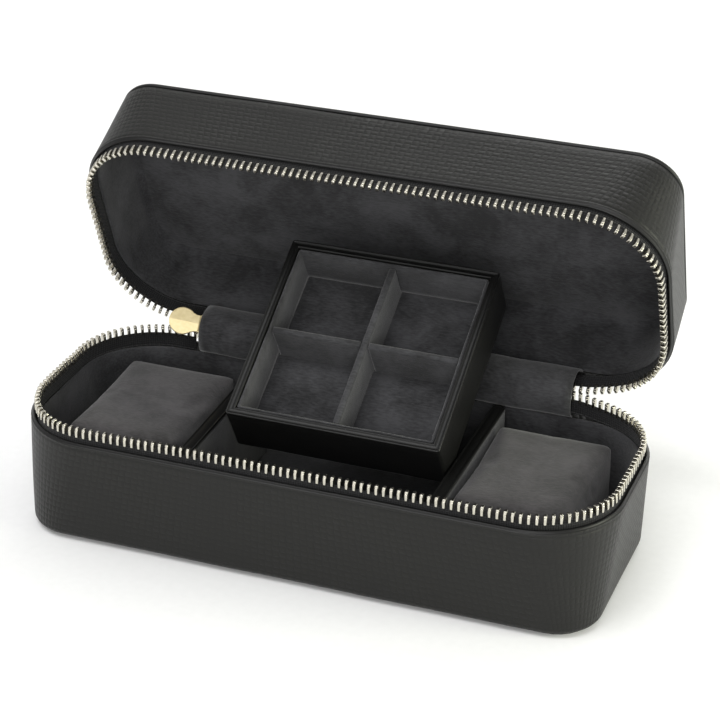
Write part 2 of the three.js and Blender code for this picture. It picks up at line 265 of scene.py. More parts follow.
def surface_mm(tree, scale=1.0):
    """The piece's UV map in millimetres, times scale."""
    uv = add(tree, "ShaderNodeUVMap", {"uv_map": "surface"})
    return add(tree, "ShaderNodeVectorMath", {"operation": "SCALE"}, {
        0: uv.outputs["UV"],
        "Scale": scale / MM,
    }).outputs["Vector"]


def basket_height(tree, place):
    """A basket weave from a place counted in cells: ridges across in one cell, along in the next."""
    parts = add(tree, "ShaderNodeSeparateXYZ", {}, {"Vector": place})
    arches = []
    floors = []
    for axis in ("X", "Y"):
        wave = maths(tree, "SINE", maths(tree, "MULTIPLY", parts.outputs[axis], math.pi))
        arches.append(maths(tree, "ABSOLUTE", wave))
        floors.append(maths(tree, "FLOOR", parts.outputs[axis]))
    odd = maths(tree, "FLOORED_MODULO", maths(tree, "ADD", *floors), 2.0)
    ridge = add(tree, "ShaderNodeMix", {"data_type": "FLOAT"}, {0: odd, 2: arches[0], 3: arches[1]})
    softened = maths(tree, "POWER", maths(tree, "MULTIPLY", *arches), 0.35)
    return maths(tree, "MULTIPLY", ridge.outputs[0], softened)


CELL = 2.6
leather, tree, shader = new_material("Embossed PU leather, black", {
    "Roughness": 0.45,
    "IOR": 1.5,
    "Specular IOR Level": 0.33,
})
cells = basket_height(tree, surface_mm(tree, 1 / CELL))
pores = add(tree, "ShaderNodeTexVoronoi", {}, {"Vector": surface_mm(tree), "Scale": 2.2})
patches = add(tree, "ShaderNodeTexNoise", {}, {"Vector": surface_mm(tree), "Scale": 0.045, "Detail": 2.0})
body_tone = blended(tree, patches.outputs["Fac"], "#0f0f0d", "#141410")
# Painted shade: the grooves between the raised pillows are coloured a little darker than the pillows.
groove_shaded_tone = blended(tree, cells, "#0d0d0b", body_tone)
# The plate pressed deeper in some places than in others, so the weave comes and goes over the wall.
pressed = add(tree, "ShaderNodeMapRange", {}, {
    "Value": patches.outputs["Fac"],
    "From Min": 0.35,
    "From Max": 0.7,
    "To Min": 0.35,
    "To Max": 1.1,
})
depth = maths(tree, "MULTIPLY", cells, pressed.outputs["Result"])
grain = relief(tree, 0.4, 0.00006, pores.outputs["Distance"])
emboss = relief(tree, 0.6, 0.0003, depth, grain)
tree.links.new(groove_shaded_tone, shader.inputs["Base Color"])
tree.links.new(emboss, shader.inputs["Normal"])
print("leather ready, cell", CELL, "mm")

# %% [markdown]
# Smooth bonded leather covers the tray, the piping and the caps of the dividers. It is the same black
# but has no embossing, only a fine pebble of about 0.5 mm, so it takes a cleaner, darker highlight.

# %% Smooth bonded leather
smooth_leather, tree, shader = new_material("Bonded leather, smooth black", {
    "Roughness": 0.4,
    "IOR": 1.5,
    "Specular IOR Level": 0.35,
})
coords = add(tree, "ShaderNodeTexCoord")
pebble = add(tree, "ShaderNodeTexVoronoi", {}, {"Vector": coords.outputs["Object"], "Scale": 1900.0})
creases = add(tree, "ShaderNodeTexNoise", {}, {
    "Vector": coords.outputs["Object"],
    "Scale": 130.0,
    "Detail": 4.0,
})
tone = blended(tree, creases.outputs["Fac"], "#080808", "#131312")
fine = relief(tree, 0.35, 0.00006, pebble.outputs["Distance"])
wave = relief(tree, 0.3, 0.0003, creases.outputs["Fac"], fine)
tree.links.new(tone, shader.inputs["Base Color"])
tree.links.new(wave, shader.inputs["Normal"])

# %% [markdown]
# Microsuede is a dense polyester nap, brushed so that it lies unevenly. A hand or a fold leaves paler
# and darker patches a centimetre or two across, and up close there are fine streaks of fibre. It has
# no highlight, only a faint sheen at a low angle. The same recipe makes the lining and, paler, the
# cushions.

# %% Microsuede


def microsuede(name, dark, pale, sheen):
    """Napped suede between two tones, with lying-nap patches and short fibre streaks."""
    material, tree, shader = new_material(name, {
        "Roughness": 1.0,
        "Specular IOR Level": 0.15,
        "Sheen Weight": sheen,
        "Sheen Roughness": 0.45,
    })
    place = add(tree, "ShaderNodeTexCoord").outputs["Object"]
    patches = add(tree, "ShaderNodeTexNoise", {}, {
        "Vector": place,
        "Scale": 55.0,
        "Detail": 5.0,
        "Roughness": 0.6,
        "Distortion": 0.4,
    })
    streak_way = add(tree, "ShaderNodeMapping", {}, {"Vector": place, "Scale": (450.0, 1500.0, 1500.0)})
    streaks = add(tree, "ShaderNodeTexNoise", {}, {
        "Vector": streak_way.outputs["Vector"],
        "Scale": 1.0,
        "Detail": 3.0,
    })
    nap = add(tree, "ShaderNodeMath", {"operation": "MULTIPLY_ADD"}, {
        0: streaks.outputs["Fac"],
        1: 0.55,
        2: patches.outputs["Fac"],
    })
    spread = add(tree, "ShaderNodeMapRange", {}, {
        "Value": nap.outputs[0],
        "From Min": 0.6,
        "From Max": 0.95,
    })
    tone = blended(tree, spread.outputs["Result"], dark, pale)
    fuzz = add(tree, "ShaderNodeTexNoise", {}, {"Vector": place, "Scale": 2600.0, "Detail": 2.0})
    rough = relief(tree, 0.5, 0.0002, fuzz.outputs["Fac"])
    brushed = relief(tree, 0.35, 0.0009, patches.outputs["Fac"], rough)
    tree.links.new(tone, shader.inputs["Base Color"])
    tree.links.new(brushed, shader.inputs["Normal"])
    return material


lining_suede = microsuede("Microsuede lining, charcoal", "#2b2b2c", "#464648", 0.3)
cushion_suede = microsuede("Microsuede cushion, warm grey", "#363535", "#4d4b4c", 0.3)
print("suedes ready")

# %% [markdown]
# The zip is sewn to a polyester tape with a plain rib weave. Real threads are about 0.3 mm; the ribs
# are drawn at 0.9 mm, the finest that still reads at this distance.

# %% Woven zip tape
RIB = 0.9
webbing, tree, shader = new_material("Polyester zip tape, woven black", {
    "Roughness": 0.9,
    "Specular IOR Level": 0.2,
    "Sheen Weight": 0.1,
})
weave = basket_height(tree, surface_mm(tree, 1 / RIB))
# Painted shade: the colour follows the weave's relief, darker in the grooves between the ribs and paler
# on their crests.
tone = blended(tree, weave, "#0b0b0c", "#2b2b2c")
ribs = relief(tree, 0.9, 0.0002, weave)
tree.links.new(tone, shader.inputs["Base Color"])
tree.links.new(ribs, shader.inputs["Normal"])

# %% [markdown]
# The teeth are punched brass, nickel plated and tumbled bright, so each one catches a hard white glint
# beside near black. The pull is plated a pale champagne and brushed, which spreads its reflection.

# %% Plated metals


def plated(name, dark, pale, roughness, scratch):
    """Plated metal with a cloudy tone and fine scratches along X."""
    material, tree, shader = new_material(name, {"Metallic": 1.0})
    place = add(tree, "ShaderNodeTexCoord").outputs["Object"]
    cloud = add(tree, "ShaderNodeTexNoise", {}, {"Vector": place, "Scale": 700.0, "Detail": 3.0})
    tone = blended(tree, cloud.outputs["Fac"], dark, pale)
    worn = add(tree, "ShaderNodeMapRange", {}, {
        "Value": cloud.outputs["Fac"],
        "To Min": roughness - 0.08,
        "To Max": roughness + 0.08,
    })
    brush_way = add(tree, "ShaderNodeMapping", {}, {"Vector": place, "Scale": (300.0, 6000.0, 6000.0)})
    scratches = add(tree, "ShaderNodeTexNoise", {}, {"Vector": brush_way.outputs["Vector"], "Scale": 1.0})
    bump = relief(tree, scratch, 0.00004, scratches.outputs["Fac"])
    tree.links.new(tone, shader.inputs["Base Color"])
    tree.links.new(worn.outputs["Result"], shader.inputs["Roughness"])
    tree.links.new(bump, shader.inputs["Normal"])
    return material


nickel = plated("Nickel-plated brass, bright", "#b5b1a5", "#dcd8cc", 0.24, 0.1)
champagne = plated("Nickel-plated brass, champagne", "#b5a67c", "#d3c59e", 0.38, 0.4)
print("metals ready")

# %% [markdown]
# ## How the pieces are made
# Walls, linings, tapes and piping are all skins over a stack of closed lines, so one function makes
# them: it joins each line to the next with quads and writes a UV map in metres as it goes. A hand-made
# box is never quite straight, so a second function moves the skin in and out by a fraction of a
# millimetre, always the same way on each run.

# %% Skins over lines


def distances(points):
    """How far along a line each of its points lies."""
    far = [0.0]
    for a, b in zip(points, points[1:]):
        far.append(far[-1] + (Vector(b) - Vector(a)).length)
    return far


def piece_from(name, points, faces, corner_uvs, material):
    """A smooth-shaded piece from points in millimetres, with faces turned outwards."""
    data = bpy.data.meshes.new(name)
    data.from_pydata([Vector(p) * MM for p in points], [], faces)
    layer = data.uv_layers.new(name="surface")
    for index, uv in enumerate(uv for face in corner_uvs for uv in face):
        layer.data[index].uv = (uv[0] * MM, uv[1] * MM)
    shape = bmesh.new()
    shape.from_mesh(data)
    bmesh.ops.recalc_face_normals(shape, faces=shape.faces)
    for face in shape.faces:
        face.smooth = len(face.verts) == 4
    shape.to_mesh(data)
    shape.free()
    data.materials.append(material)
    piece = show(name, data)
    return piece


def mesh_of(shape, name, *materials):
    """Ends a bmesh as a mesh with those materials."""
    data = bpy.data.meshes.new(name)
    shape.to_mesh(data)
    shape.free()
    for material in materials:
        data.materials.append(material)
    return data


def skin(name, lines, material, ring=True, loop=False, flat_uv=False):
    """Skins a stack of lines. ring: each line is closed. loop: the last line joins the first.
    A stack that isn't a loop is closed by a flat face over its first and its last line."""
    count = len(lines[0])
    middle = lines[len(lines) // 2]
    along = distances(middle + middle[:1])
    across = distances([line[0] for line in lines] + [lines[0][0]])
    faces = []
    corner_uvs = []
    for k in range(len(lines) if loop else len(lines) - 1):
        after = (k + 1) % len(lines)
        for i in range(count if ring else count - 1):
            j = (i + 1) % count
            faces.append((k * count + i, k * count + j, after * count + j, after * count + i))
            corner_uvs.append((
                (along[i], across[k]),
                (along[i + 1], across[k]),
                (along[i + 1], across[k + 1]),
                (along[i], across[k + 1]),
            ))
    ends = [0, len(lines) - 1] if ring and not loop else []
    for k in ends:
        faces.append(tuple(k * count + i for i in range(count)))
        corner_uvs.append(tuple((p[0], p[1]) for p in lines[k]))
    if not ring:
        for i in (0, count - 1):
            faces.append(tuple(k * count + i for k in range(len(lines))))
            corner_uvs.append(tuple((lines[k][i][1], lines[k][i][2]) for k in range(len(lines))))
    points = [p for line in lines for p in line]
    if flat_uv:
        corner_uvs = [tuple((points[v][0], points[v][1]) for v in face) for face in faces]
    return piece_from(name, points, faces, corner_uvs, material)


def hand_made(piece, depth, size, seed):
    """Moves the surface in and out by up to depth, in waves of that size, both in millimetres."""
    data = piece.data
    normals = [v.normal.copy() for v in data.vertices]
    for vertex, normal in zip(data.vertices, normals):
        place = vertex.co / MM / size + Vector((seed, 0.0, 0.0))
        vertex.co += normal * noise.noise(place) * depth * MM
    data.update()


ARC = 16
RUN = 22


def rounded(half_x, half_y, radius, z, centre=(0.0, 0.0)):
    """A rounded rectangle, from its front right corner anticlockwise to its front side."""
    arcs = []
    for side_x, side_y, start in ((1, -1, -90), (1, 1, 0), (-1, 1, 90), (-1, -1, 180)):
        turns = [math.radians(start + 90 * i / ARC) for i in range(ARC + 1)]
        x = centre[0] + side_x * (half_x - radius)
        y = centre[1] + side_y * (half_y - radius)
        arcs.append([(x + radius * math.cos(a), y + radius * math.sin(a), z) for a in turns])
    line = []
    for arc, following in zip(arcs, arcs[1:] + arcs[:1]):
        line += arc
        (x0, y0, _), (x1, y1, _) = arc[-1], following[0]
        line += [(x0 + (x1 - x0) * k / RUN, y0 + (y1 - y0) * k / RUN, z) for k in range(1, RUN)]
    return line


def wall_line(inset, radius, z):
    """A line round the box's plan, that far inside its rim."""
    return rounded(WIDTH / 2 - inset, DEPTH / 2 - inset, radius, z)


def base_level(height, inset):
    """A line round the base: the walls lean in and the corners tighten towards the bottom."""
    share = height / RIM
    radius = END_RADIUS + (RIM_RADIUS - END_RADIUS) * share
    return wall_line(TAPER * (1 - share) + inset, max(radius - inset, 1.0), height)


def lid_level(height, inset):
    """The same for the lid when shut, its height counted down from its flat top."""
    share = height / LID_WALL
    radius = END_RADIUS + (RIM_RADIUS - END_RADIUS) * share
    return wall_line(TAPER * (1 - share) + inset, max(radius - inset, 1.0), LID_TOP - height)


def open_lid(piece):
    """Turns a piece made on the shut lid to where the open lid is."""
    piece.data.transform(opening)
    return piece


def stands_for(piece, body, slot, *names):
    """Rides on a body and takes the place of frame nodes."""
    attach(piece, body)
    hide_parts(*names)
    print(piece.name, "on", body, "with", len(piece.data.polygons), "faces")


# %% [markdown]
# ## The base
# The base is a board tray with leather drawn up over it. Its cut edge stops a millimetre below the
# top of the board. The top of its lip is given the darker smooth leather as painted shade, so the rim
# shows as a fine dark line, with a pressed groove a little below it. The wall is one profile, built
# from the foot up, and goes back down inside behind the lining.

# %% Base wall
foot = shell_low.z
FOOT_ROUND = 3.0
# How far below the rim the lip carries a band of painted shade, in millimetres.
LIP_SHADE_BAND = 0.9
LIP_DEPTH = 3.0
LIP = (
    (2.4, 0.1), (1.9, 0.3), (1.5, 0.1), (1.1, 0.05), (LIP_SHADE_BAND, 0.12), (0.8, 0.42), (0.6, 0.55),
    (0.4, 0.68), (0.1, 0.85), (0.0, 1.1), (0.1, 1.5),
)
profile = []
for step in range(7):
    angle = math.radians(15 * step)
    profile.append((foot + FOOT_ROUND * (1 - math.cos(angle)), FOOT_ROUND * (1 - math.sin(angle)) + 0.1))
straight = RIM - foot - FOOT_ROUND - LIP_DEPTH
profile += [(foot + FOOT_ROUND + straight * k / 9, 0.1) for k in range(1, 10)]
profile += [(RIM - below, inset) for below, inset in LIP]
profile += [(RIM - 0.7, BOARD), (foot + BOARD, BOARD)]
base_wall = skin("base_leather_wall", [base_level(z, inset) for z, inset in profile], leather)


def shade_lip_edge(piece, low, high):
    """Gives the faces between two levels, in millimetres, the darker smooth leather as painted shade."""
    piece.data.materials.append(smooth_leather)
    for face in piece.data.polygons:
        if low < face.center.z / MM < high:
            face.material_index = 1


# Painted shade: the top of the base's lip gets the darker smooth leather.
shade_lip_edge(base_wall, RIM - LIP_SHADE_BAND + 0.02, RIM + 1)
hand_made(base_wall, 0.35, 38.0, 1.7)
stands_for(base_wall, "base", "black_leather", "base_shell")
nodes["base_bottom_panel"].data.materials.clear()
nodes["base_bottom_panel"].data.materials.append(smooth_leather)

# %% [markdown]
# The lining is suede glued to thin card, rolled over at the top. It stands inside the wall a few
# millimetres lower than the rim, and the zip tape comes up between the two.

# %% Base lining and floor
LINING = 1.2
lining_low, lining_high = box_mm("base_lining")
outside = BOARD + 0.3
inside = outside + LINING
middle_inset = (outside + inside) / 2
ROLL = 0.6
heights = [lining_low.z + (lining_high.z - ROLL - lining_low.z) * k / 8 for k in range(9)]
roll_over = [
    (lining_high.z - ROLL + ROLL * math.sin(a), middle_inset + ROLL * math.cos(a))
    for a in map(math.radians, (30, 60, 90, 120, 150))
]
profile = [(z, inside) for z in heights] + roll_over + [(z, outside) for z in reversed(heights)]
base_lining = skin("base_suede_wall", [base_level(z, i) for z, i in profile], lining_suede, loop=True)
hand_made(base_lining, 0.3, 22.0, 4.2)
stands_for(base_lining, "base", "dark_suede", "base_lining")

floor_low, floor_high = box_mm("base_floor_pad")
pad_inset = inside + 0.5
profile = [(floor_low.z, 1.0), (floor_low.z + 0.3, 0.15), (floor_high.z - 0.9, 0.0)]
profile += [(floor_high.z - 0.25, 0.5), (floor_high.z, 2.0), (floor_high.z, 8.0), (floor_high.z, 15.0)]
base_pad = skin("base_floor_suede", [base_level(z, pad_inset + i) for z, i in profile], lining_suede)
stands_for(base_pad, "base", "dark_suede", "base_floor_pad")

# %% [markdown]
# ## The lid
# The lid is made the same way, upside down, while it is shut, and then turned open about the hinge.
# Its top is a separate leather panel, and the joint between panel and wall is covered by a piping: a
# cord wrapped in smooth leather, which is the black bead that runs round the lid's edge.

# %% Lid wall, piping and top panel
profile = [(1.85, 2.3), (1.95, 1.3), (2.3, 0.5), (2.9, 0.12)]
profile += [(2.9 + (LID_WALL - LIP_DEPTH - 2.9) * k / 9, 0.1) for k in range(1, 10)]
profile += [(LID_WALL - below, inset) for below, inset in LIP]
profile += [(LID_WALL - 0.7, BOARD), (2.0 + BOARD, BOARD)]
lid_wall = skin("lid_leather_wall", [lid_level(h, i) for h, i in profile], leather)
# Painted shade along the lid's lip, the same as on the base.
shade_lip_edge(lid_wall, RIM + ZIP_GAP - 1, RIM + ZIP_GAP + LIP_SHADE_BAND - 0.02)
open_lid(lid_wall)
hand_made(lid_wall, 0.35, 38.0, 9.3)
stands_for(lid_wall, "lid", "black_leather", "lid_shell")

PIPING = 0.95
turns = [math.radians(30 * k) for k in range(12)]
lines = [lid_level(1.05 + PIPING * math.sin(a), 1.0 + PIPING * math.cos(a)) for a in turns]
piping = open_lid(skin("lid_leather_piping", lines, smooth_leather, loop=True))
stands_for(piping, "lid", "smooth_leather", "lid_piping")

profile = [(1.5, 2.4), (0.95, 2.05), (0.5, 2.3), (0.28, 3.2), (0.14, 6.0), (0.06, 14.0), (0.02, 26.0)]
panel = open_lid(skin("lid_leather_panel", [lid_level(h, i) for h, i in profile], leather, flat_uv=True))
stands_for(panel, "lid", "black_leather", "lid_top_panel")

# %% [markdown]
# Inside the lid the suede wall curves into the top through a soft corner, and a thin foam pad under
# suede fills the top. The pad swells a little towards its middle.

# %% Lid lining and pad
CORNER = 4.5
lining_top = LID_WALL - 3.5
heights = [lining_top - ROLL - (lining_top - ROLL - 9.0) * k / 8 for k in range(9)]
soft_corner = [
    (9.0 - CORNER * math.sin(math.radians(a)), inside + CORNER - CORNER * math.cos(math.radians(a)))
    for a in (15, 30, 45, 60, 75, 90)
]
roll_over = [
    (lining_top - ROLL + ROLL * math.sin(a), middle_inset + ROLL * math.cos(a))
    for a in map(math.radians, (150, 120, 90, 60, 30))
]
profile = [(h, inside) for h in heights] + soft_corner + [(3.9, inside + CORNER), (3.9, outside)]
profile += [(h, outside) for h in reversed(heights)] + roll_over
lines = [lid_level(h, i) for h, i in profile]
lid_lining = open_lid(skin("lid_suede_wall", lines, lining_suede, loop=True))
hand_made(lid_lining, 0.3, 24.0, 2.6)
stands_for(lid_lining, "lid", "dark_suede", "lid_lining")

pad_edge = inside + 0.6
profile = [(3.95, 0.1), (4.5, 0.15), (4.9, 0.5), (5.2, 1.6)]
profile += [(5.5, 5.0), (5.8, 10.0), (6.0, 17.0), (6.1, 26.0)]
lid_pad = open_lid(skin("lid_suede_pad", [lid_level(h, pad_edge + i) for h, i in profile], lining_suede))
hand_made(lid_pad, 0.35, 26.0, 7.7)
stands_for(lid_pad, "lid", "dark_suede", "lid_top_pad")

# %% [markdown]
# ## The zip
# The tape is sewn in between leather and lining and stands up past the rim, so that the teeth meet
# half way between base and lid. It never runs quite level: a slow sway of a quarter of a millimetre is
# added to the whole line, and at the closed right end the two tapes are drawn together. The lid's half
# mirrors the base's, so that the two still meet.

# %% Zip line and tapes
ZIP_LEFT = -76.2
ZIP_RIGHT = 75.2
TAPE_INSET = 2.4
TAPE_THICK = 0.6
END_DRAW = 2.0
tape_low, tape_high = box_mm("base_zip_tape")
MEET = RIM + ZIP_GAP / 2


def zip_line(inset, z):
    """The line of the zip round three sides, from its left end at the back to its right end."""
    rim = wall_line(inset, RIM_RADIUS - inset, z)
    side = ARC + RUN
    ends_at = DEPTH / 2 - inset
    line = [(ZIP_LEFT, ends_at, z)] + rim[2 * side:] + rim[:side + ARC + 1] + [(ZIP_RIGHT, ends_at, z)]
    swayed = []
    for index, (x, y, height) in enumerate(line):
        share = index / (len(line) - 1)
        fade = min(1.0, 8 * share, 8 * (1 - share))
        sway = 0.2 * math.sin(28 * share + 0.6) + 0.08 * math.sin(71 * share)
        drawn_in = END_DRAW * max(0.0, 1 - 25 * (1 - share)) ** 2
        swayed.append((x, y, height + sway * fade + drawn_in))
    return swayed


def mirrored(line):
    """A line of the base's half of the zip, carried over to the shut lid."""
    return [(x, y, 2 * MEET - z) for x, y, z in line]


cord = TAPE_INSET + TAPE_THICK / 2
cord_foot = tape_high.z - 0.9
tape_profile = [(TAPE_INSET, tape_low.z + (cord_foot - tape_low.z) * k / 4) for k in range(5)]
tape_profile += [
    (cord - 0.45 * math.cos(math.radians(a)), tape_high.z - 0.45 + 0.45 * math.sin(math.radians(a)))
    for a in (0, 45, 90, 135, 180)
]
tape_profile += [
    (TAPE_INSET + TAPE_THICK, cord_foot - (cord_foot - tape_low.z) * k / 4) for k in range(5)
]
lines = [zip_line(inset, z) for inset, z in tape_profile]
base_tape = skin("base_zip_webbing", lines, webbing, ring=False, loop=True)
stands_for(base_tape, "base", "zip_webbing", "base_zip_tape")
lines = [mirrored(line) for line in lines]
lid_tape = open_lid(skin("lid_zip_webbing", lines, webbing, ring=False, loop=True))
stands_for(lid_tape, "lid", "zip_webbing", "lid_zip_tape")

# %% [markdown]
# About 150 teeth sit on each tape at a pitch of 2.8 mm. They repeat along a line, which is what Geometry
# Nodes are for: the tree resamples the line at the pitch, sets one tooth on each point, turns it along
# the line with a very small random tilt, and makes it all real mesh. The tooth itself is a clamped leg
# with a head that leans to one side. It reaches past the middle of the zip, so that the two rows mesh.

# %% One tooth
LEG = (0.54, 1.15, 2.9)
HEAD_FROM = 2.4
HEAD_TOP = 3.7
HOOK = 0.14
PAST_MIDDLE = 1.1


def bevelled_box(shape, low, high, width):
    """Adds a box with soft edges to a bmesh, in millimetres."""
    made = bmesh.ops.create_cube(shape, size=1.0)["verts"]
    for vertex in made:
        for axis in range(3):
            vertex.co[axis] = (low[axis] if vertex.co[axis] < 0 else high[axis]) * MM
    edges = list({e for v in made for e in v.link_edges})
    bmesh.ops.bevel(
        shape, geom=edges, offset=width * MM, segments=2, profile=0.6, affect="EDGES", clamp_overlap=True
    )


def tooth_piece(name, way):
    """A tooth that points up (way 1) or down (way -1) and hooks to the right or to the left."""
    shape = bmesh.new()
    bevelled_box(shape, (-LEG[0], -LEG[1], 0.0), LEG, 0.28)
    bevelled_box(shape, (-LEG[0], -0.95, HEAD_FROM), (LEG[0] + HOOK, 0.95, HEAD_TOP), 0.3)
    for vertex in shape.verts:
        vertex.co.x *= way
        vertex.co.z *= way
    for face in shape.faces:
        face.smooth = True
    return bpy.data.objects.new(name, mesh_of(shape, name))


# %% The tree that sets teeth along a line
teeth_tree = bpy.data.node_groups.new("teeth_along_a_line", "GeometryNodeTree")
face_in = teeth_tree.interface
face_in.new_socket("Geometry", in_out="INPUT", socket_type="NodeSocketGeometry")
face_in.new_socket("Pitch", in_out="INPUT", socket_type="NodeSocketFloat")
face_in.new_socket("Tooth", in_out="INPUT", socket_type="NodeSocketObject")
face_in.new_socket("Tilt", in_out="INPUT", socket_type="NodeSocketVector")
face_in.new_socket("Metal", in_out="INPUT", socket_type="NodeSocketMaterial")
face_in.new_socket("Geometry", in_out="OUTPUT", socket_type="NodeSocketGeometry")
given = add(teeth_tree, "NodeGroupInput")
curve = add(teeth_tree, "GeometryNodeMeshToCurve", {}, {"Mesh": given.outputs["Geometry"]})
spaced = add(teeth_tree, "GeometryNodeResampleCurve", {"mode": "LENGTH"}, {
    "Curve": curve.outputs["Curve"],
    "Length": given.outputs["Pitch"],
})
along = add(teeth_tree, "GeometryNodeInputTangent")
turned = add(teeth_tree, "FunctionNodeAlignRotationToVector", {"axis": "X", "pivot_axis": "Z"}, {
    "Vector": along.outputs["Tangent"],
})
down = add(teeth_tree, "ShaderNodeVectorMath", {"operation": "SCALE"}, {
    0: given.outputs["Tilt"],
    "Scale": -1.0,
})
tilt = add(teeth_tree, "FunctionNodeRandomValue", {"data_type": "FLOAT_VECTOR"}, {
    0: down.outputs["Vector"],
    1: given.outputs["Tilt"],
    8: 7,
})
tilt_turn = add(teeth_tree, "FunctionNodeEulerToRotation", {}, {"Euler": tilt.outputs[0]})
both = add(teeth_tree, "FunctionNodeRotateRotation", {"rotation_space": "LOCAL"}, {
    "Rotation": turned.outputs["Rotation"],
    "Rotate By": tilt_turn.outputs["Rotation"],
})
tooth_in = add(teeth_tree, "GeometryNodeObjectInfo", {}, {"Object": given.outputs["Tooth"]})
placed = add(teeth_tree, "GeometryNodeInstanceOnPoints", {}, {
    "Points": spaced.outputs["Curve"],
    "Instance": tooth_in.outputs["Geometry"],
    "Rotation": both.outputs["Rotation"],
})
real = add(teeth_tree, "GeometryNodeRealizeInstances", {}, {"Geometry": placed.outputs["Instances"]})
coated = add(teeth_tree, "GeometryNodeSetMaterial", {}, {
    "Geometry": real.outputs["Geometry"],
    "Material": given.outputs["Metal"],
})
add(teeth_tree, "NodeGroupOutput", {}, {"Geometry": coated.outputs["Geometry"]})


def made_by(tree, name, start, values, material):
    """Runs a node tree on a mesh and returns the result as a plain mesh piece."""
    source = show(name + "_source", start)
    modifier = source.modifiers.new("tree", "NODES")
    modifier.node_group = tree
    sockets = {i.name: i.identifier for i in tree.interface.items_tree if i.in_out == "INPUT"}
    for key, value in values.items():
        modifier[sockets[key]] = value
    bpy.context.view_layer.update()
    shown = source.evaluated_get(bpy.context.evaluated_depsgraph_get())
    data = bpy.data.meshes.new_from_object(shown)
    bpy.data.objects.remove(source)
    data.name = name
    data.materials.clear()
    data.materials.append(material)
    piece = show(name, data)
    return piece


# %% [markdown]
# The lid's teeth start half a pitch later than the base's, so that they fall between them when shut.

# %% Both rows of teeth
PITCH = 2.78
TOOTH_FOOT = MEET + PAST_MIDDLE - HEAD_TOP


def line_mesh(line, start):
    """A chain of edges that is a whole number of pitches long, from a distance along the line."""
    far = distances(line)
    count = int((far[-1] - PITCH / 2) / PITCH)
    stops = [start] + [d for d in far if start < d < start + count * PITCH] + [start + count * PITCH]
    points = []
    for stop in stops:
        k = next(i for i in range(1, len(far)) if far[i] >= stop - 1e-6)
        share = (stop - far[k - 1]) / (far[k] - far[k - 1])
        points.append(Vector(line[k - 1]).lerp(Vector(line[k]), share) * MM)
    data = bpy.data.meshes.new("zip_line")
    data.from_pydata(points, [(i, i + 1) for i in range(len(points) - 1)], [])
    return data


for body, way, start in (("base", 1, 0.0), ("lid", -1, PITCH / 2)):
    tooth = tooth_piece(body + "_tooth", way)
    line = zip_line(cord, TOOTH_FOOT)
    if way < 0:
        line = mirrored(line)
    values = {"Pitch": PITCH * MM, "Tooth": tooth, "Tilt": (0.03, 0.012, 0.03), "Metal": nickel}
    row = made_by(teeth_tree, body + "_zip_teeth", line_mesh(line, start), values, nickel)
    if way < 0:
        open_lid(row)
    bpy.data.objects.remove(tooth)
    stands_for(row, body, "zip_metal", body + "_zip_chain")

# %% [markdown]
# ## Dividers
# Two upright boards covered in suede make the end wells. Each is finished with a strip of smooth
# leather glued over its top edge, with a round back end and its long edges creased with a hot iron, so
# that a thin line catches the light along both sides.

# %% Dividers and their caps


def soft_block(name, low, high, radius, material):
    """A covered board: a box with rounded edges."""
    shape = bmesh.new()
    bevelled_box(shape, low, high, radius)
    for face in shape.faces:
        face.smooth = face.calc_area() < 0.2 * max(f.calc_area() for f in shape.faces)
    return show(name, mesh_of(shape, name, material))


CAP_PROFILE = (
    (0.0, 0.3), (0.3, 0.0), (0.75, 0.0), (1.05, 0.12), (1.15, 0.38),
    (1.02, 0.62), (0.92, 0.85), (1.05, 1.3), (1.15, 1.9), (1.18, 2.4),
)
for side in ("left", "right"):
    low, high = box_mm(side + "_divider")
    board = soft_block(side + "_divider_board", low, high, 0.6, lining_suede)
    stands_for(board, "base", "dark_suede", side + "_divider")
    low, high = box_mm(side + "_divider_cap")
    middle = ((low.x + high.x) / 2, (low.y + high.y) / 2)
    half_x = (high.x - low.x) / 2
    half_y = (high.y - low.y) / 2
    lines = [
        rounded(half_x - inset, half_y - inset, half_x - inset - 0.02, low.z + height, middle)
        for height, inset in CAP_PROFILE
    ]
    strip = skin(side + "_divider_trim", lines, smooth_leather)
    stands_for(strip, "base", "smooth_leather", side + "_divider_cap")

# %% [markdown]
# ## The hinge
# There is no metal hinge. Outside, a strip of the same leather joins the two backs, and inside, a strip
# of suede is glued from one lining to the other and folds between them. Both bend as the lid moves. Here
# each is shaped once, for the open lid: from the base at one end to the lid at the other, turning
# smoothly.

# %% Leather spine and suede strip


def opened(y, z):
    """Where a point of the shut lid's back lies once the lid is open."""
    place = opening @ (Vector((0.0, y, z)) * MM)
    return place.y / MM, place.z / MM


def through(guides, steps):
    """A smooth line through guide points in the YZ plane."""
    ends = [guides[0]] + guides + [guides[-1]]
    line = []
    for a, b, c, d in zip(ends, ends[1:], ends[2:], ends[3:]):
        for k in range(steps):
            t = k / steps
            line.append(tuple(
                0.5 * (2 * b[i] + (c[i] - a[i]) * t + (2 * a[i] - 5 * b[i] + 4 * c[i] - d[i]) * t * t
                       + (3 * b[i] - a[i] - 3 * c[i] + d[i]) * t ** 3)
                for i in (0, 1)
            ))
    return line + [guides[-1]]


def strap(name, guides, thick, left, right, material, steps=6):
    """A strip of even thickness that follows guide points in the YZ plane, across the box."""
    line = through(guides, steps)
    sides = [[], []]
    for i, (y, z) in enumerate(line):
        before = Vector(line[max(i - 1, 0)])
        after = Vector(line[min(i + 1, len(line) - 1)])
        way = (after - before).normalized() * thick / 2
        sides[0].append((y - way.y, z + way.x))
        sides[1].append((y + way.y, z - way.x))
    across = [left + (right - left) * k / 50 for k in range(51)]
    lines = [[(x, y, z) for x in across] for y, z in sides[0] + sides[1][::-1]]
    return skin(name, lines, material, ring=False, loop=True), line


def joins(piece, slot, start, end, *names):
    """Bakes its place into the mesh and takes the place of frame nodes."""
    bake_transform(piece)
    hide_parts(*names)
    print(piece.name, "bends with", len(piece.data.polygons), "faces")


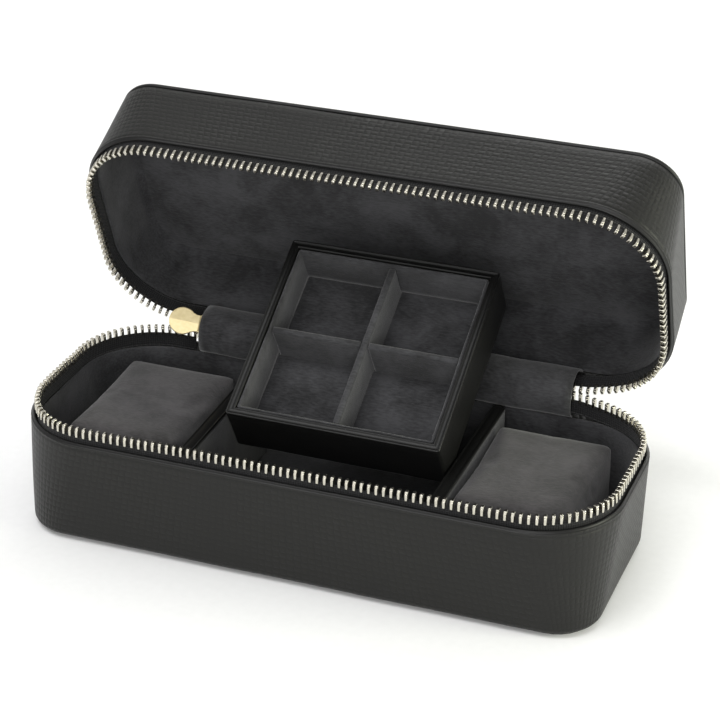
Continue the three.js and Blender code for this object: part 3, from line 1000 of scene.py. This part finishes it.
hinge_y = hinge_at.y / MM
hinge_z = hinge_at.z / MM
spine_low, spine_high = box_mm("hinge_spine")
spine_line = DEPTH / 2 + 0.7
guides = [
    (spine_line - 0.5, RIM - 10),
    (spine_line, RIM - 1),
    (hinge_y + 1.2, hinge_z + 1.2),
    opened(spine_line, RIM + ZIP_GAP + 1),
    opened(spine_line - 0.6, RIM + ZIP_GAP + 9),
]
spine, line = strap("hinge_leather_spine", guides, 0.8, spine_low.x, spine_high.x, leather)
joins(spine, "black_leather", (0, spine_line, RIM - 1), (0, *guides[3]), "hinge_spine")

flap_low, flap_high = box_mm("hinge_strip")
lean = TAPER * (1 - (RIM - 3.5) / RIM)
flap_at = DEPTH / 2 - lean - BOARD - LINING - 0.6
guides = [
    (flap_at + 0.6, RIM - 2.8),
    (flap_at - 2.6, RIM - 0.1),
    (flap_at - 2.9, RIM + 6),
    (flap_at + 0.4, RIM + 12),
    (flap_at + 8, RIM + 13.4),
    opened(flap_at + 0.5, RIM + ZIP_GAP + 2.8),
]
flap, line = strap("hinge_suede_strip", guides, 0.7, flap_low.x, flap_high.x, lining_suede)
hand_made(flap, 0.35, 14.0, 5.5)
joins(flap, "dark_suede", (0, flap_at - 2.6, RIM - 0.1), (0, flap_at + 12, RIM + 13), "hinge_strip")

# %% [markdown]
# ## The tray
# A small leather-covered box that lies propped on the middle well. It is built flat and then put where
# the frame's tray is, whose lower front edge and front face give the place and the tilt. The rim has a
# fine raised bead along both of its edges.

# %% Where the tray is
tray_points = [v.co / MM for v in nodes["tray_shell"].data.vertices]
tray_foot = min(tray_points, key=lambda p: p.z)
tray_lip = min(tray_points, key=lambda p: p.y)
tray_low, tray_high = box_mm("tray_shell")
tray_tilt = math.atan2(tray_foot.y - tray_lip.y, tray_lip.z - tray_foot.z)
TRAY_HEIGHT = math.hypot(tray_foot.y - tray_lip.y, tray_lip.z - tray_foot.z)
TRAY_WIDTH = tray_high.x - tray_low.x
TRAY_DEPTH = (tray_high.y - tray_foot.y) / math.cos(tray_tilt)
tray_middle = Vector(((tray_low.x + tray_high.x) / 2, tray_foot.y, tray_foot.z)) * MM
tray_place = Matrix.Translation(tray_middle) @ Matrix.Rotation(tray_tilt, 4, "X")
print("tray", round(TRAY_WIDTH), "x", round(TRAY_DEPTH), "x", round(TRAY_HEIGHT), "mm")
print("tilted", round(math.degrees(tray_tilt), 1), "degrees")

TRAY_WALL = 3.2
TRAY_FLOOR = 2.4
half_x = TRAY_WIDTH / 2
half_y = TRAY_DEPTH / 2
centre = (0.0, half_y)


def tray_line(inset, radius, height):
    """A line round the tray, that far inside its outside."""
    return rounded(half_x - inset, half_y - inset, max(radius - inset, 0.35), height, centre)


def in_tray(piece, slot, *names):
    """Puts a piece made flat into the tilted tray."""
    piece.data.transform(tray_place)
    stands_for(piece, "tray", slot, *names)


# %% Tray shell
top = TRAY_HEIGHT
profile = [(0.0, 0.9), (0.12, 0.45), (0.4, 0.15), (0.9, 0.0)]
profile += [(0.9 + (top - 2.3) * k / 6, 0.0) for k in range(1, 7)]
profile += [(top - 0.75, 0.12), (top - 0.5, 0.02), (top - 0.15, 0.1), (top, 0.4), (top - 0.1, 0.68)]
profile += [(top - 0.32, 0.85), (top - 0.3, 1.6), (top - 0.32, 2.35), (top - 0.1, 2.52), (top, 2.78)]
profile += [(top - 0.15, 3.08), (top - 0.5, 3.2), (TRAY_FLOOR, TRAY_WALL)]
shell = skin("tray_leather_shell", [tray_line(i, 1.3, z) for z, i in profile], smooth_leather)
hand_made(shell, 0.12, 16.0, 3.1)
in_tray(shell, "smooth_leather", "tray_shell")

# %% [markdown]
# Inside, the four pockets are lined in suede: a wall lining folded over below the rim, a cross of
# padded dividers a little lower, and a pad in each pocket that swells towards its middle.

# %% Tray lining, dividers and pocket pads
wall_in = TRAY_WALL + 0.3
wall_out = wall_in + 1.0
foot_z = TRAY_FLOOR + 0.7
liner_top = top - 0.7
profile = [(foot_z + (liner_top - 0.4 - foot_z) * k / 5, wall_out) for k in range(6)]
profile += [(liner_top - 0.1, wall_out - 0.25), (liner_top, wall_in + 0.5)]
profile += [(liner_top - 0.1, wall_in + 0.2), (liner_top - 0.5, wall_in), (foot_z, wall_in)]
liner = skin("tray_suede_wall", [tray_line(i, 4.6, z) for z, i in profile], lining_suede, loop=True)
hand_made(liner, 0.2, 9.0, 6.4)
in_tray(liner, "dark_suede", "tray_lining")

CROSS = 2.6
cross_top = top - 1.6
reach_x = half_x - wall_out - 0.3
reach_y = half_y - wall_out - 0.3
long_low = (-CROSS / 2, half_y - reach_y, foot_z)
long_high = (CROSS / 2, half_y + reach_y, cross_top)
long_arm = soft_block("tray_suede_cross_long", long_low, long_high, 0.9, lining_suede)
in_tray(long_arm, "dark_suede", "tray_long_divider")
for side, way in (("left", -1), ("right", 1)):
    ends = sorted((way * (CROSS / 2 + 0.3), way * reach_x))
    low = (ends[0], half_y - CROSS / 2, foot_z)
    high = (ends[1], half_y + CROSS / 2, cross_top)
    arm = soft_block("tray_suede_cross_" + side, low, high, 0.9, lining_suede)
    in_tray(arm, "dark_suede", "tray_" + side + "_divider")


def joined(name, pieces):
    """Several pieces of one material as one mesh."""
    shape = bmesh.new()
    for piece in pieces:
        shape.from_mesh(piece.data)
    data = mesh_of(shape, name, pieces[0].data.materials[0])
    for piece in pieces:
        bpy.data.objects.remove(piece)
    whole = show(name, data)
    return whole


pads = []
PAD_PROFILE = ((0.0, 0.1), (1.3, 0.0), (1.9, 0.25), (2.2, 1.0), (2.4, 3.0), (2.6, 7.0), (2.65, 14.0))
for way_x in (-1, 1):
    for way_y in (-1, 1):
        x0 = CROSS / 2 - 0.5
        half_pad_x = (reach_x + 0.9 - x0) / 2
        half_pad_y = (reach_y + 0.9 - x0) / 2
        at = (way_x * (x0 + half_pad_x), half_y + way_y * (x0 + half_pad_y))
        lines = [
            rounded(half_pad_x - i, half_pad_y - i, max(1.5 - i, 0.4), TRAY_FLOOR + 0.3 + z, at)
            for z, i in PAD_PROFILE
        ]
        pads.append(skin("pocket_pad", lines, lining_suede))
pocket_pads = joined("tray_suede_pads", pads)
in_tray(pocket_pads, "dark_suede", "tray_pad")

# %% [markdown]
# ## The cushions
# A watch cushion is a block of foam wrapped in suede, which a strap is closed round. The foam swells
# each face a little and rounds its edges. A block a little too small is remeshed and blown up by the
# cloth solver with pressure and no gravity, and no point may move more than about a millimetre.

# %% Two cushions by cloth simulation
VOXEL = 1.7
SWELL = 0.9
SHRUNK = 0.4


def swollen(piece, frames=20):
    """Blows a closed piece up a little, then smooths it by one subdivision."""
    remesh = piece.modifiers.new("even_mesh", "REMESH")
    remesh.mode = "VOXEL"
    remesh.voxel_size = VOXEL * MM
    remesh.use_smooth_shade = True
    flatten_modifiers(piece)
    rest = [v.co.copy() for v in piece.data.vertices]
    cloth = piece.modifiers.new("foam", "CLOTH")
    cloth.settings.use_pressure = True
    cloth.settings.uniform_pressure_force = 4.0
    cloth.settings.effector_weights.gravity = 0.0
    cloth.settings.quality = 6
    for step in range(1, frames + 1):
        bpy.context.scene.frame_set(step)
    flatten_modifiers(piece)
    bpy.context.scene.frame_set(1)
    for vertex, was in zip(piece.data.vertices, rest):
        move = vertex.co - was
        if move.length > 0:
            vertex.co = was + move.normalized() * SWELL * MM * math.tanh(move.length / (SWELL * MM))
    finer = piece.modifiers.new("finer", "SUBSURF")
    finer.levels = 1
    finer.render_levels = 1
    flatten_modifiers(piece)
    return piece


def flatten_modifiers(piece):
    """Replaces a piece's mesh by what its modifiers make of it."""
    bpy.context.view_layer.update()
    shown = piece.evaluated_get(bpy.context.evaluated_depsgraph_get())
    data = bpy.data.meshes.new_from_object(shown)
    piece.modifiers.clear()
    piece.data = data


for side in ("left", "right"):
    low, high = box_mm(side + "_cushion")
    inner_low = tuple(c + SHRUNK for c in low)
    inner_high = tuple(c - SHRUNK for c in high)
    cushion = soft_block(side + "_watch_cushion", inner_low, inner_high, 1.3, cushion_suede)
    swollen(cushion)
    stands_for(cushion, side + "_cushion_body", "cushion_suede", side + "_cushion")

# %% [markdown]
# ## Slider and pull
# The slider is two small plates either side of a post, with a staple that holds the pull. Castings have
# no sharp edges, so the frame's shapes are copied, merged and bevelled. It hangs between the ends of
# the two tapes, so it leans back half as far as the lid. The pull is a flat tab with a round head: each
# face is two planes that meet in a low ridge, and the two catch the light differently.

# %% Slider
for name in ("slider_inner_plate", "slider_outer_plate", "slider_post", "slider_staple"):
    shape = bmesh.new()
    shape.from_mesh(nodes[name].data)
    bmesh.ops.remove_doubles(shape, verts=shape.verts, dist=0.00001)
    bmesh.ops.dissolve_limit(shape, angle_limit=math.radians(1), verts=shape.verts, edges=shape.edges)
    sharp = [e for e in shape.edges if len(e.link_faces) == 2 and e.calc_face_angle() > math.radians(30)]
    bmesh.ops.bevel(shape, geom=sharp, offset=0.15 * MM, segments=2, affect="EDGES", clamp_overlap=True)
    data = mesh_of(shape, name, champagne)
    casting = show(name + "_casting", data)
    stands_for(casting, "slider", "pull_metal", name)

# %% Zip pull
pull = next(j for j in frame["joints"] if j["name"] == "pull_swing")
HEAD = 5.45
REACH = 7.6
HALF_NECK = HEAD * math.sin(math.radians(48))
NECK_FROM = HEAD * math.cos(math.radians(48)) - REACH


def half_height(x):
    """Half the pull's height at a distance from its pin."""
    if x < NECK_FROM:
        return math.sqrt(max(HEAD ** 2 - (x + REACH) ** 2, 0.0))
    t = (x - NECK_FROM) / (-0.5 - NECK_FROM)
    return (1 - t) ** 2 * HALF_NECK + 2 * t * (1 - t) * 3.1 + t * t * 3.5


stops = [-REACH - HEAD * math.cos(math.radians(6 * k)) for k in range(1, 23)]
stops += [NECK_FROM + (-0.5 - NECK_FROM) * k / 6 for k in range(7)]
shape = bmesh.new()
rows = []
for x in [-REACH - HEAD] + stops:
    half = half_height(x)
    row = []
    for share in (-1.0, -0.94, 0.0, 0.94, 1.0):
        z = half * share
        thick = 0.62 - 0.04 * abs(z) - (0.16 if abs(share) == 1.0 else 0.0)
        row.append([shape.verts.new(Vector((x, side * thick, z)) * MM) for side in (-1, 1)])
    rows.append(row)
for a, b in zip(rows, rows[1:]):
    for i in range(4):
        shape.faces.new((a[i][0], a[i + 1][0], b[i + 1][0], b[i][0]))
        shape.faces.new((a[i][1], b[i][1], b[i + 1][1], a[i + 1][1]))
    for i in (0, 4):
        shape.faces.new((a[i][0], b[i][0], b[i][1], a[i][1]))
for row in (rows[0], rows[-1]):
    for i in range(4):
        shape.faces.new((row[i][0], row[i + 1][0], row[i + 1][1], row[i][1]))
KNUCKLE = 1.3
KNUCKLE_HALF = 3.0
bores = []
KNUCKLE_PROFILE = (
    (-KNUCKLE_HALF, 0.98), (-KNUCKLE_HALF, 1.2), (-2.85, KNUCKLE),
    (2.85, KNUCKLE), (KNUCKLE_HALF, 1.2), (KNUCKLE_HALF, 0.98),
)
for z, radius in KNUCKLE_PROFILE:
    turns = [math.radians(20 * k) for k in range(18)]
    bores.append([
        shape.verts.new(Vector((radius * math.cos(a), radius * math.sin(a), z)) * MM) for a in turns
    ])
for ring, following in zip(bores, bores[1:] + bores[:1]):
    for k in range(18):
        after = (k + 1) % 18
        shape.faces.new((ring[k], ring[after], following[after], following[k]))
bmesh.ops.remove_doubles(shape, verts=shape.verts, dist=0.000001)
bmesh.ops.recalc_face_normals(shape, faces=shape.faces)
data = mesh_of(shape, "zip_pull_tab", champagne)
tab = show("zip_pull_tab", data)
PULL_ANGLE = 18.0
lean = Matrix.Rotation(math.radians(-OPEN_ANGLE / 2), 4, "X")
swing = Matrix.Rotation(math.radians(PULL_ANGLE), 4, "Z")
data.transform(Matrix.Translation(Vector(pull["pos_m"])) @ lean @ swing)
stands_for(tab, "pull", "pull_metal", "zip_pull")

# %% Last update of the scene
bpy.context.view_layer.update()
